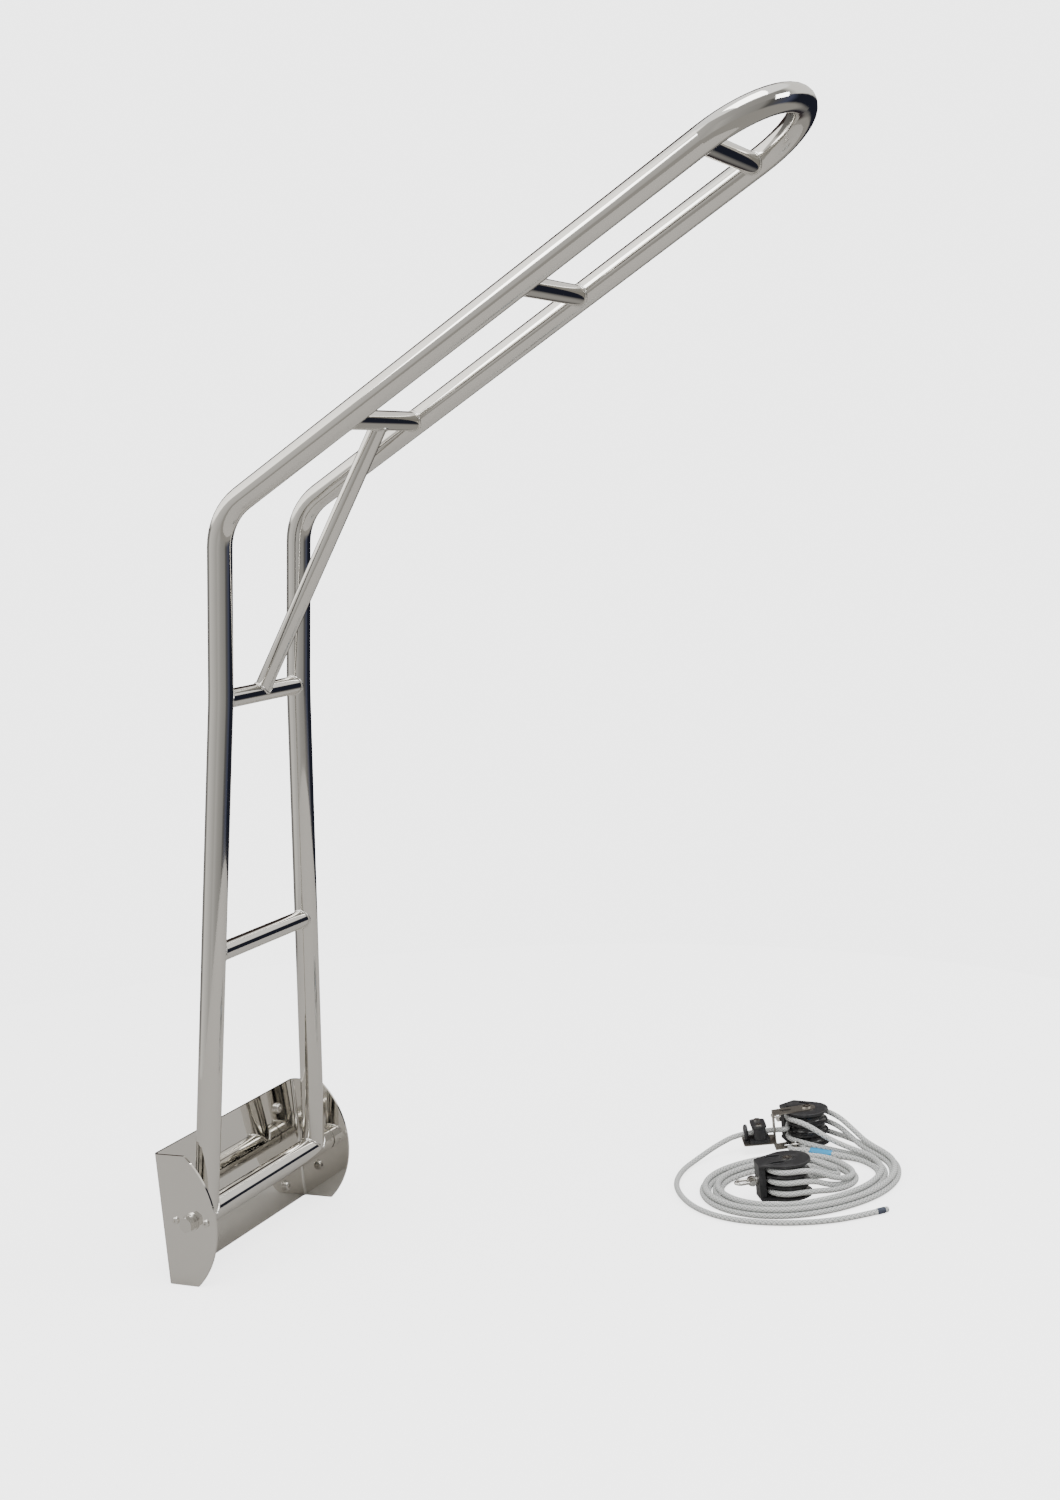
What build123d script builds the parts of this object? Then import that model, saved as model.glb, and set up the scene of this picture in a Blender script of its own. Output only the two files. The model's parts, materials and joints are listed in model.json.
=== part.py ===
from build123d import *
from math import cos, pi, radians, sin, tan
import os

# Stern davit with a folding hinge bracket and its six-part rope tackle.
# Row frame: origin at the centre of the bracket's rear face, which lies on the transom;
# +X along the hinge, -Y outboard (astern), +Z up.  Millimetres.

# ---- driving dimensions -------------------------------------------------------------------
# Bracket: one folded sheet, a back plate and two D-shaped cheeks
BRACKET_WIDTH = 326.0
BRACKET_HEIGHT = 176.0
CHEEK_FLAT = 49.0
CHEEK_DEPTH = 88.0
SHEET = 3.0
FOLD_RADIUS = 4.0
HINGE_OUT = 49.0
SCREW_X = 116.0
SCREW_Z = 58.0
SCREW_R = 4.0
SCREW_NECK_R = 3.55
SCREW_OUT = 15.8
SCREW_HOLE_R = 4.3
WASHER = 1.2
LOCK_PITCH = 24.0
LOCK_SCREW_R = 2.5

# Davit: two legs on a hinge tube, bent into two arms that meet in a half circle
TUBE_R = 16.0
TUBE_WALL = 2.0
BAR_R = 12.3
BAR_WALL = 1.6
BRACE_R = 11.0
LEG_SPREAD = 258.8
ARM_SPREAD = 179.0
KINK_HEIGHT = 673.6
KNEE_HEIGHT = 906.0
ARM_ANGLE = 55.9
ARM_LENGTH = 753.0
KINK_RADIUS = 500.0
KNEE_RADIUS = 75.0
LOWER_RUNG_HEIGHT = 344.0
ARM_BARS = {"inner_arm_bar": 216.0, "middle_arm_bar": 489.7, "outer_arm_bar": 747.7}
LEAN = 7.4

# Hinge hardware, M12
BOLT_R = 6.0
THREAD_R = 5.4
BOLT_FLAT = 9.2
BOLT_HEAD = 7.5
HINGE_WASHER = 2.5
SPRING_WASHER = 2.6
BUSH_WALL = 1.5
BUSH_FLANGE_R = 14.0
BUSH_FLANGE = 1.2
RUNNING = 0.05
AIR = 0.3
PLUG_LENGTH = 32.0

# Tackle: rope, sheaves and blocks
ROPE_R = 4.0
SHEAVE_R = 28.5
SHEAVE_THICK = 12.4
GROOVE_CENTRE_R = 30.1
GROOVE_R = 4.9
DIVIDER = 2.2
CHEEK_THICK = 3.5
SHEAVE_AIR = 0.3
AXLE_R = 5.0
AXLE_STAND = 2.1
SHEAVES = 3
STRAP = 1.6
TACKLE_X = 352.0
TACKLE_Y = -690.0
TACKLE_TURN = -64.0

# ---- derived places -----------------------------------------------------------------------
DECK = -BRACKET_HEIGHT / 2
HALF = BRACKET_WIDTH / 2
INNER_HALF = HALF - SHEET
BUSH_R = BOLT_R + RUNNING + BUSH_WALL
HINGE_TUBE_HALF = INNER_HALF - BUSH_FLANGE - AIR
PITCH = SHEAVE_THICK + DIVIDER + 2 * SHEAVE_AIR
STACK_HALF = (SHEAVES * SHEAVE_THICK + (SHEAVES - 1) * DIVIDER) / 2 + SHEAVES * SHEAVE_AIR
BLOCK_HALF = STACK_HALF + CHEEK_THICK
UPPER_BLOCK = (44.0, 152.0)
LOWER_BLOCK = (-12.0, -46.0)
UPPER_TURN = -55.0
LOWER_TURN = 8.0

hinge_frame = Location((0, -HINGE_OUT, 0), (LEAN, 0, 0))
tackle_frame = Location((TACKLE_X, TACKLE_Y, DECK), (0, 0, TACKLE_TURN))
parts = {}


def rod(start, end, radius, inner=0.0):
    """A straight round bar or tube from start to end."""
    axis = Vector(*end) - Vector(*start)
    plane = Plane(origin=start, z_dir=axis)
    solid = extrude(plane * Circle(radius), axis.length)
    if inner:
        solid -= extrude(plane * Circle(inner), axis.length)
    return solid


def swept(path, radius):
    """A round bar along a path."""
    start = Plane(origin=path @ 0, z_dir=path % 0)
    return sweep(start * Circle(radius), path=path)


def group(solids):
    return Compound(children=[s if isinstance(s, Solid) else s.solids()[0] for s in solids])


# ---- bracket ------------------------------------------------------------------------------
def cheek_profile():
    """Half disc with a straight back: flat top and bottom, then an arc to the front."""
    top = BRACKET_HEIGHT / 2
    edges = [
        Line((0, -top), (0, top)),
        Line((0, top), (-CHEEK_FLAT, top)),
        ThreePointArc((-CHEEK_FLAT, top), (-CHEEK_DEPTH, 0), (-CHEEK_FLAT, -top)),
        Line((-CHEEK_FLAT, -top), (0, -top)),
    ]
    return make_face(Wire(edges))


def bracket():
    """Back plate and two cheeks folded from one sheet."""
    outer = Pos(0, -CHEEK_DEPTH / 2, 0) * Box(BRACKET_WIDTH, CHEEK_DEPTH, BRACKET_HEIGHT)
    back_edges = outer.edges().filter_by(Axis.Z).group_by(Axis.Y)[-1]
    outer = fillet(back_edges, FOLD_RADIUS + SHEET)
    inner_depth = CHEEK_DEPTH - SHEET + 10
    inner = Box(2 * INNER_HALF, inner_depth, BRACKET_HEIGHT + 2)
    inner = Pos(0, -SHEET - inner_depth / 2, 0) * inner
    inner = fillet(inner.edges().filter_by(Axis.Z).group_by(Axis.Y)[-1], FOLD_RADIUS)
    outline = extrude(Plane.YZ.offset(-HALF - 1) * cheek_profile(), BRACKET_WIDTH + 2)
    body = (outer - inner) & outline
    holes = [rod((-HALF - 1, -HINGE_OUT, 0), (HALF + 1, -HINGE_OUT, 0), BUSH_R)]
    for side in (-1, 1):
        y = -HINGE_OUT + side * LOCK_PITCH
        holes.append(rod((-HALF - 1, y, 0), (HALF + 1, y, 0), LOCK_SCREW_R + RUNNING))
    for x in (-SCREW_X, SCREW_X):
        for z in (-SCREW_Z, SCREW_Z):
            holes.append(rod((x, -SHEET - 1, z), (x, 1, z), SCREW_HOLE_R))
    for hole in holes:
        body -= hole
    return body


def transom_screw(x, z):
    """M8 button-head screw through a thin washer: a plain neck, then the thread behind the plate."""
    face = -SHEET
    seat = face - WASHER
    washer = rod((x, face, z), (x, seat, z), 8.0, SCREW_HOLE_R)
    head = rod((x, seat, z), (x, seat - 4.4, z), 6.6)
    head = fillet(head.edges().group_by(Axis.Y)[0], 2.0)
    socket = Plane(origin=(x, seat - 4.8, z), z_dir=(0, 1, 0)) * RegularPolygon(2.9, 6)
    head -= extrude(socket, 3.2)
    neck = rod((x, seat, z), (x, 1, z), SCREW_NECK_R)
    thread = rod((x, 0.5, z), (x, SCREW_OUT, z), SCREW_R)
    return head + neck + thread, washer


def lock_screw(side, y):
    """M5 socket button screw threaded through a cheek."""
    outer = side * HALF
    head = rod((outer, y, 0), (outer + side * 2.7, y, 0), 4.7)
    edge = head.edges().group_by(Axis.X)[-1 if side > 0 else 0]
    head = fillet(edge, 1.6)
    socket = Plane(origin=(outer + side * 3, y, 0), z_dir=(-side, 0, 0)) * RegularPolygon(1.7, 6)
    head -= extrude(socket, 2.0)
    return head + rod((outer, y, 0), (outer - side * (SHEET + 2), y, 0), LOCK_SCREW_R)


parts["hinge_bracket"] = bracket()
corners = [(x, z) for x in (-SCREW_X, SCREW_X) for z in (-SCREW_Z, SCREW_Z)]
screws = [transom_screw(x, z) for x, z in corners]
parts["transom_screws"] = group([s for s, w in screws])
parts["transom_washers"] = group([w for s, w in screws])
lock_places = [(side, -HINGE_OUT + k * LOCK_PITCH) for side in (-1, 1) for k in (-1, 1)]
parts["lock_screws"] = group([lock_screw(side, y) for side, y in lock_places])


def hinge_bush(side):
    """Flanged plastic bush in a cheek: the barrel fills the hole, the flange faces inward."""
    y = -HINGE_OUT
    wall = side * INNER_HALF
    barrel = rod((side * HALF, y, 0), (wall, y, 0), BUSH_R)
    flange = rod((wall, y, 0), (wall - side * BUSH_FLANGE, y, 0), BUSH_FLANGE_R)
    bore = rod((side * (HALF + 1), y, 0), (wall - side * 5, y, 0), BOLT_R + RUNNING)
    return barrel + flange - bore


parts["hinge_bush_near"] = hinge_bush(-1)
parts["hinge_bush_far"] = hinge_bush(1)

# ---- davit, built upright about the hinge axis, then leaned outboard ----------------------
arm_dir = Vector(0, -sin(radians(ARM_ANGLE)), cos(radians(ARM_ANGLE)))
knee = Vector(0, 0, KNEE_HEIGHT)


def davit_path():
    """Leg, knee, arm, half circle and back down: straight runs joined by tangent arcs."""
    half = ARM_SPREAD / 2
    foot = LEG_SPREAD / 2
    tip = knee + arm_dir * (ARM_LENGTH + half)
    side = [
        Vector(-foot, 0, 0),
        Vector(-half, 0, KINK_HEIGHT),
        Vector(-half, 0, KNEE_HEIGHT),
        Vector(-half, tip.Y, tip.Z),
    ]
    points = side + [Vector(-p.X, p.Y, p.Z) for p in reversed(side)]
    bends = [KINK_RADIUS, KNEE_RADIUS, half - 0.2]
    return FilletPolyline(*points, radius=bends + bends[::-1])


full_path = davit_path()
davit_outer = swept(full_path, TUBE_R)
main_tube = davit_outer - swept(full_path, TUBE_R - TUBE_WALL)
hinge_outer = rod((-HINGE_TUBE_HALF, 0, 0), (HINGE_TUBE_HALF, 0, 0), TUBE_R)
main_tube = (main_tube - hinge_outer).solids().sort_by(SortBy.VOLUME)[-1]
hinge_bore = rod((-HINGE_TUBE_HALF, 0, 0), (HINGE_TUBE_HALF, 0, 0), TUBE_R - TUBE_WALL)
upright = {"main_tube": main_tube, "hinge_tube": hinge_outer - hinge_bore}


def cross_bar(centre, spread):
    """A bar between the two tubes, coped to fit them."""
    reach = Vector(spread / 2, 0, 0)
    bar = rod(tuple(centre - reach), tuple(centre + reach), BAR_R, BAR_R - BAR_WALL)
    pieces = (bar - davit_outer).solids()
    return pieces.sort_by(SortBy.VOLUME)[-1]


leg_half = LEG_SPREAD / 2 + (ARM_SPREAD - LEG_SPREAD) / 2 * LOWER_RUNG_HEIGHT / KINK_HEIGHT
upright["lower_rung"] = cross_bar(Vector(0, 0, LOWER_RUNG_HEIGHT), 2 * leg_half)
upright["upper_rung"] = cross_bar(Vector(0, 0, KINK_HEIGHT), ARM_SPREAD)
for name, along in ARM_BARS.items():
    upright[name] = cross_bar(knee + arm_dir * along, ARM_SPREAD)

brace_foot = Vector(0, 0, KINK_HEIGHT)
brace_head = knee + arm_dir * ARM_BARS["inner_arm_bar"]
brace = rod(tuple(brace_foot), tuple(brace_head), BRACE_R, BRACE_R - BAR_WALL)
for centre in (brace_foot, brace_head):
    brace -= rod(tuple(centre - Vector(40, 0, 0)), tuple(centre + Vector(40, 0, 0)), BAR_R)
upright["brace_tube"] = brace.solids().sort_by(SortBy.VOLUME)[-1]


def hinge_hardware(side):
    """Threaded end plug welded in the hinge tube, and the bolt, washer and spring washer on it."""
    end = side * HINGE_TUBE_HALF
    plug = rod((end, 0, 0), (end - side * PLUG_LENGTH, 0, 0), TUBE_R - TUBE_WALL, THREAD_R)
    face = side * (HALF + 0.2)
    washer_out = face + side * HINGE_WASHER
    spring_out = washer_out + side * SPRING_WASHER
    washer = rod((face, 0, 0), (washer_out, 0, 0), 12.0, BOLT_R + 0.4)
    spring = rod((washer_out, 0, 0), (spring_out, 0, 0), 10.0, BOLT_R + 0.2)
    spring -= Pos(washer_out + side * SPRING_WASHER / 2, 0, 8.5) * Rot(25, 0, 0) * Box(4, 1.2, 6)
    head_plane = Plane(origin=(spring_out, 0, 0), z_dir=(side, 0, 0))
    head = extrude(head_plane * RegularPolygon(BOLT_FLAT, 6, major_radius=False), BOLT_HEAD)
    from_base = (Align.CENTER, Align.CENTER, Align.MIN)
    chamfer_cone = Rot(0, side * 90, 0) * Cone(17.0, 7.0, 13.0, align=from_base)
    head = head & (Pos(spring_out - side * 2.0, 0, 0) * chamfer_cone)
    shank_end = end - side * (PLUG_LENGTH - 6)
    thread = rod((end, 0, 0), (shank_end, 0, 0), THREAD_R)
    shank = rod((spring_out, 0, 0), (end, 0, 0), BOLT_R)
    return plug, washer, spring, head + shank + thread


for side, word in ((-1, "near"), (1, "far")):
    plug, washer, spring, bolt = hinge_hardware(side)
    upright["end_plug_" + word] = plug
    upright["hinge_washer_" + word] = washer
    upright["spring_washer_" + word] = spring
    upright["hinge_bolt_" + word] = bolt

for name, solid in upright.items():
    parts[name] = hinge_frame * solid


# ---- tackle blocks, built flat with the sheave axis upright and the head towards -x ------------
HEAD_X = -44.0


def block_outline(grow=0.0, head=HEAD_X):
    """Round about the sheave, drawn in to a square head."""
    round_part = Circle(31.5 + grow)
    square = Pos(head + 5, 0) * Rectangle(10, 30 + 2 * grow)
    outline = make_hull(round_part.edges() + square.edges())
    return fillet(outline.vertices().group_by(Axis.X)[0], 4.0)


def sheave(level):
    """Grooved wheel with a plain bore that runs on the axle."""
    half = SHEAVE_THICK / 2
    body = Cylinder(SHEAVE_R, SHEAVE_THICK)
    body -= Torus(GROOVE_CENTRE_R, GROOVE_R)
    body -= Cylinder(AXLE_R + RUNNING, SHEAVE_THICK + 2)
    rim_ring = Cylinder(19.0, 1.0) - Cylinder(9.0, 1.0)
    body -= Pos(0, 0, half - 0.5) * rim_ring
    body -= Pos(0, 0, 0.5 - half) * rim_ring
    return Pos(0, 0, level) * body


def cheek(side):
    """Outer shell of a block: plate with a raised rim and two windows."""
    z = side * STACK_HALF
    plate = extrude(Plane.XY.offset(min(z, z + side * CHEEK_THICK)) * block_outline(), CHEEK_THICK)
    plate = fillet(plate.edges().group_by(Axis.Z)[-1 if side > 0 else 0], 1.2)
    pocket_base = z + side * 2.0
    pocket = Plane.XY.offset(min(pocket_base, pocket_base + side * 3))
    windows = Pos(-18, 13) * Ellipse(11, 4.2) + Pos(-18, -13) * Ellipse(11, 4.2)
    plate -= extrude(pocket * windows, 3)
    plate -= Pos(0, 0, z) * Cylinder(AXLE_R, 20)
    return plate


def divider(level):
    outline = block_outline(-1.5, HEAD_X + 10)
    plate = extrude(Plane.XY.offset(level - DIVIDER / 2) * outline, DIVIDER)
    return plate - Pos(0, 0, level) * Cylinder(AXLE_R, 20)


def axle(cap):
    """Through pin with a low round head at each end."""
    pin = Cylinder(AXLE_R, 2 * (BLOCK_HALF + cap))
    head = Cylinder(6.5, 1.8)
    solid = pin
    for side in (-1, 1):
        solid += Pos(0, 0, side * (BLOCK_HALF + cap + 0.9)) * head
    slot = Box(1.2, 9, 1.6)
    return solid - Pos(0, 0, BLOCK_HALF + cap + 1.6) * slot


def head_block():
    """Solid bridge between the cheeks that carries the eye."""
    body = Pos(HEAD_X + 4.7, 0, 0) * Box(9.4, 27, 2 * STACK_HALF)
    body = fillet(body.edges().filter_by(Axis.Z), 1.5)
    return body - Pos(HEAD_X + 4.7, 0, 0) * Rot(0, 90, 0) * Cylinder(3.5, 20)


def head_eye():
    """Swivel eye: a shank through the head block and a round eye outside."""
    shank = rod((HEAD_X + 9.4, 0, 0), (HEAD_X - 3, 0, 0), 3.5 - RUNNING)
    collar = rod((HEAD_X - 0.2, 0, 0), (HEAD_X - 3, 0, 0), 6.0)
    eye = Pos(HEAD_X - 7.5, 0, 0) * Rot(90, 0, 0) * Cylinder(7.0, 5.0)
    eye -= Pos(HEAD_X - 8.5, 0, 0) * Rot(90, 0, 0) * Cylinder(2.6, 12)
    return shank + collar + eye


def shackle():
    """D shackle: a bent bar with two round ears."""
    pin_x = HEAD_X - 8.5
    half_bow = [(pin_x, 6.2, 0), (pin_x - 17, 7.2, 0)]
    tip = [(pin_x - 24, 0, 0)]
    other_half = [(x, -y, z) for x, y, z in reversed(half_bow)]
    path = FilletPolyline(*(half_bow + tip + other_half), radius=5.0)
    bow = swept(path, 2.2)
    for side in (-1, 1):
        ear = Pos(pin_x, side * 6.2, 0) * Rot(90, 0, 0) * Cylinder(4.4, 4.0)
        bow += ear
    return bow - Pos(pin_x, 0, 0) * Rot(90, 0, 0) * Cylinder(2.5, 40)


def shackle_pin():
    pin_x = HEAD_X - 8.5
    pin = Pos(pin_x, 0, 0) * Rot(90, 0, 0) * Cylinder(2.5, 17.4)
    head = Pos(pin_x, -10.1, 0) * Rot(90, 0, 0) * Cylinder(4.0, 2.8)
    return pin + head


levels = [(k - (SHEAVES - 1) / 2) * PITCH for k in range(SHEAVES)]
gaps = [(levels[k] + levels[k + 1]) / 2 for k in range(SHEAVES - 1)]
places = {
    "upper": Location((*UPPER_BLOCK, BLOCK_HALF + STRAP + AXLE_STAND), (0, 0, UPPER_TURN)),
    "lower": Location((*LOWER_BLOCK, BLOCK_HALF + AXLE_STAND), (0, 0, LOWER_TURN)),
}
for word, place in places.items():
    at = tackle_frame * place
    parts[word + "_block_cheek_top"] = at * cheek(1)
    parts[word + "_block_cheek_bottom"] = at * cheek(-1)
    parts[word + "_block_dividers"] = at * group([divider(level) for level in gaps])
    parts[word + "_block_axle"] = at * axle(STRAP if word == "upper" else 0.0)
    parts[word + "_block_head"] = at * head_block()
    parts[word + "_block_eye"] = at * head_eye()
    parts[word + "_shackle"] = at * shackle()
    parts[word + "_shackle_pin"] = at * shackle_pin()
    for k, level in enumerate(levels):
        parts[f"{word}_sheave_{k + 1}"] = at * sheave(level)


# ---- cam cleat arm on the upper block, built in the tackle's own frame --------------------------
ARM_Z = places["upper"].position.Z
CAM_LEVEL = ARM_Z - 13.0
CAM_X = UPPER_BLOCK[0] - 74.0
CAM_Y = UPPER_BLOCK[1] - 10.0
CAM_GAP = 25.0
BECKET = (20.0, 118.0)
ROPE_LEVEL = CAM_LEVEL + 13.0


def becket_tab(z):
    """Ear on the lower strap, with the hole that the standing end is made fast to."""
    ux, uy = UPPER_BLOCK
    bx, by = BECKET
    sides = make_hull((Pos(ux, uy) * Circle(9)).edges() + (Pos(bx, by) * Circle(7)).edges())
    tab = extrude(Plane.XY.offset(z) * sides, STRAP)
    return tab - Pos(bx, by, z) * Cylinder(3.2, 10)


def cam_arm():
    """One bent strip: a strap on each cheek, an end wall and the platform of the cleat."""
    ux, uy = UPPER_BLOCK
    wall_x = ux - 50.0
    corners = [(ux, uy + 13), (wall_x, CAM_Y + 12), (wall_x, CAM_Y - 12), (ux, uy - 13)]
    outline = make_face(Polyline(*corners, close=True))
    outline += Pos(ux, uy) * Circle(13)
    solid = None
    for side in (-1, 1):
        z = ARM_Z + side * BLOCK_HALF
        strap = extrude(Plane.XY.offset(min(z, z + side * STRAP)) * outline, STRAP)
        if side < 0:
            strap += becket_tab(z - STRAP)
        strap -= Pos(ux, uy, z) * Cylinder(AXLE_R, 12)
        strap -= Pos(ux - 31, uy - 5, z) * Rot(0, 0, 12) * extrude(Ellipse(9, 3.6), 6, both=True)
        solid = strap if solid is None else solid + strap
    wall_height = 2 * (BLOCK_HALF + STRAP)
    wall = Pos(wall_x - STRAP / 2, CAM_Y, ARM_Z) * Box(STRAP, 24, wall_height)
    wall -= Pos(wall_x, CAM_Y, ROPE_LEVEL) * Rot(0, 90, 0) * Cylinder(6.5, 12)
    platform = Pos(wall_x - 24, CAM_Y, CAM_LEVEL - STRAP / 2) * Box(48, 40, STRAP)
    platform = fillet(platform.edges().filter_by(Axis.Z), 4.0)
    return solid + wall + platform


def cam_base():
    """Moulded base of the cam cleat with a pin boss for each cam."""
    base = Pos(CAM_X, CAM_Y, CAM_LEVEL + 2.5) * Box(30, 38, 5)
    base = fillet(base.edges().filter_by(Axis.Z), 6.0)
    base -= Pos(CAM_X, CAM_Y, CAM_LEVEL + 5) * Rot(0, 90, 0) * Cylinder(2.0, 60)
    for side in (-1, 1):
        base -= Pos(CAM_X, CAM_Y + side * CAM_GAP / 2, CAM_LEVEL) * Cylinder(2.5, 20)
    return base


def cam(side):
    """Toothed jaw: an eccentric drum with ribs on the face that grips the rope."""
    pivot = (CAM_X, CAM_Y + side * CAM_GAP / 2)
    drum = Ellipse(8.2, 6.6) + Pos(3.0, -side * 0.6) * Circle(6.6)
    solid = extrude(Plane.XY.offset(CAM_LEVEL + 5.4) * drum, 17)
    for k in range(-2, 4):
        notch = Pos(k * 2.6, -side * 7.4, CAM_LEVEL + 14) * Rot(0, 0, 45) * Box(1.2, 1.2, 30)
        solid -= notch
    solid -= Pos(0, 0, CAM_LEVEL + 14) * Cylinder(2.5 + RUNNING, 40)
    return Pos(*pivot, 0) * solid


def cam_cap():
    """Top bridge over the two cams."""
    z = CAM_LEVEL + 23.0
    cap = Pos(CAM_X, CAM_Y, z + 1.5) * Box(22, 38, 3)
    cap = fillet(cap.edges().filter_by(Axis.Z), 6.0)
    for side in (-1, 1):
        cap -= Pos(CAM_X, CAM_Y + side * CAM_GAP / 2, z) * Cylinder(2.5, 20)
    return cap


def cam_pins():
    made = []
    for side in (-1, 1):
        y = CAM_Y + side * CAM_GAP / 2
        pin = rod((CAM_X, y, CAM_LEVEL), (CAM_X, y, CAM_LEVEL + 26), 2.5)
        made.append(pin + rod((CAM_X, y, CAM_LEVEL + 26), (CAM_X, y, CAM_LEVEL + 28), 4.6))
    return group(made)


def fairlead():
    """Round eye that the tail passes through before it reaches the cams."""
    x = CAM_X - 19.0
    ring = Pos(x, CAM_Y, CAM_LEVEL + 13) * Rot(0, 90, 0) * Torus(9.0, 3.0)
    foot = Pos(x, CAM_Y, CAM_LEVEL + 1.6) * Box(6, 20, 3.2)
    return ring + foot


at = tackle_frame
parts["cam_arm"] = at * cam_arm()
parts["cam_base"] = at * cam_base()
parts["cam_left"] = at * cam(-1)
parts["cam_right"] = at * cam(1)
parts["cam_cap"] = at * cam_cap()
parts["cam_pins"] = at * cam_pins()
parts["cam_fairlead"] = at * fairlead()

# ---- rope: one hank of six parallel parts, its two leads, and the free tail ---------------------
HANK_WIDTH = 37.0
HANK_HEIGHT = 15.4
LEAD_GAP = 0.5

# Middle line of the hank, laid by hand: a turn and a half, clockwise, wide first and then inside.
HANK = [
    (124.0, 78.0),
    (134.0, 40.0),
    (134.0, 2.0),
    (123.0, -36.0),
    (99.0, -71.0),
    (64.0, -98.0),
    (24.0, -115.0),
    (-20.0, -121.0),
    (-62.0, -110.0),
    (-96.0, -83.0),
    (-115.0, -45.0),
    (-117.0, -4.0),
    (-98.0, 32.0),
    (-62.0, 57.0),
    (-20.0, 69.0),
    (18.0, 68.0),
    (48.0, 52.0),
    (65.0, 24.0),
    (64.0, -4.0),
]


def tangent_radii(vectors):
    """For each corner, the largest arc that its two runs allow."""
    runs = [b - a for a, b in zip(vectors, vectors[1:])]
    radii = []
    for a, b in zip(runs, runs[1:]):
        turn = radians(a.get_angle(b))
        radii.append(0.45 * min(a.length, b.length) / tan(turn / 2))
    return radii


def rope_hank():
    """Flat band, four parts wide and two high, along the hank's middle line."""
    vectors = [Vector(x, y, HANK_HEIGHT / 2 + 0.1) for x, y in HANK]
    radii = tangent_radii(vectors)
    print("rope_hank radii", [round(r) for r in radii])
    path = FilletPolyline(*vectors, radius=radii)
    start = Plane(origin=path @ 0, x_dir=(0, 0, 1), z_dir=path % 0)
    return sweep(start * Rectangle(HANK_HEIGHT, HANK_WIDTH), path=path)


def lead(block, turn, end, heading, level):
    """Tapering fan of the six parts between a block's open side and one end of the hank."""
    way = Vector(cos(radians(turn)), sin(radians(turn)), 0)
    mouth = Vector(block[0], block[1], level) + way * 34
    outward = Vector(*heading, 0).normalized()
    foot = Vector(end[0], end[1], HANK_HEIGHT / 2 + 0.1) + outward * LEAD_GAP
    near = Plane(origin=mouth, x_dir=(0, 0, 1), z_dir=way) * Rectangle(2 * STACK_HALF - 2, 58)
    far = Plane(origin=foot, x_dir=(0, 0, 1), z_dir=-outward) * Rectangle(HANK_HEIGHT, HANK_WIDTH)
    return loft([near, far])


# Hand-laid route of the tail, from the cams round the outside of the hank.
TAIL = [
    (CAM_X + 22.0, CAM_Y, ROPE_LEVEL),
    (CAM_X - 26.0, CAM_Y, ROPE_LEVEL),
    (-92.0, 134.0, 17.0),
    (-126.0, 110.0, 6.0),
    (-150.0, 76.0, 4.3),
    (-164.0, 26.0, 4.3),
    (-160.0, -28.0, 4.3),
    (-142.0, -80.0, 4.3),
    (-106.0, -124.0, 4.3),
    (-56.0, -150.0, 4.3),
    (0.0, -162.0, 4.3),
    (56.0, -158.0, 4.3),
    (106.0, -138.0, 4.3),
]


def cord_solid(name, points, radius):
    """Straight runs joined by arcs, each as large as its two runs allow."""
    vectors = [Vector(*p) for p in points]
    radii = tangent_radii(vectors)
    path = FilletPolyline(*vectors, radius=radii)
    solid = swept(path, radius)
    section = pi * radius * radius
    print(name, "radii", [round(r) for r in radii], "length", round(path.length, 1))
    print(name, "volume / section x length", round(solid.volume / (section * path.length), 4))
    return solid


def heading(end, before):
    """Plan direction in which the hank runs out of one of its ends."""
    return (end[0] - before[0], end[1] - before[1])


upper_way = heading(HANK[0], HANK[1])
lower_way = heading(HANK[-1], HANK[-2])
lower_z = places["lower"].position.Z
parts["rope_hank"] = at * rope_hank()
parts["rope_upper_lead"] = at * lead(UPPER_BLOCK, UPPER_TURN, HANK[0], upper_way, ARM_Z)
parts["rope_lower_lead"] = at * lead(LOWER_BLOCK, LOWER_TURN, HANK[-1], lower_way, lower_z)
parts["rope_tail"] = at * cord_solid("rope_tail", TAIL, ROPE_R)

os.makedirs("parts", exist_ok=True)
for name, solid in parts.items():
    export_step(solid, f"parts/{name}.step")
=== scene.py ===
import json
from math import cos, pi, radians, sin

import bpy
import numpy as np
from bpy.props import FloatProperty, FloatVectorProperty, IntProperty, PointerProperty
from mathutils import Matrix, Vector


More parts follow.
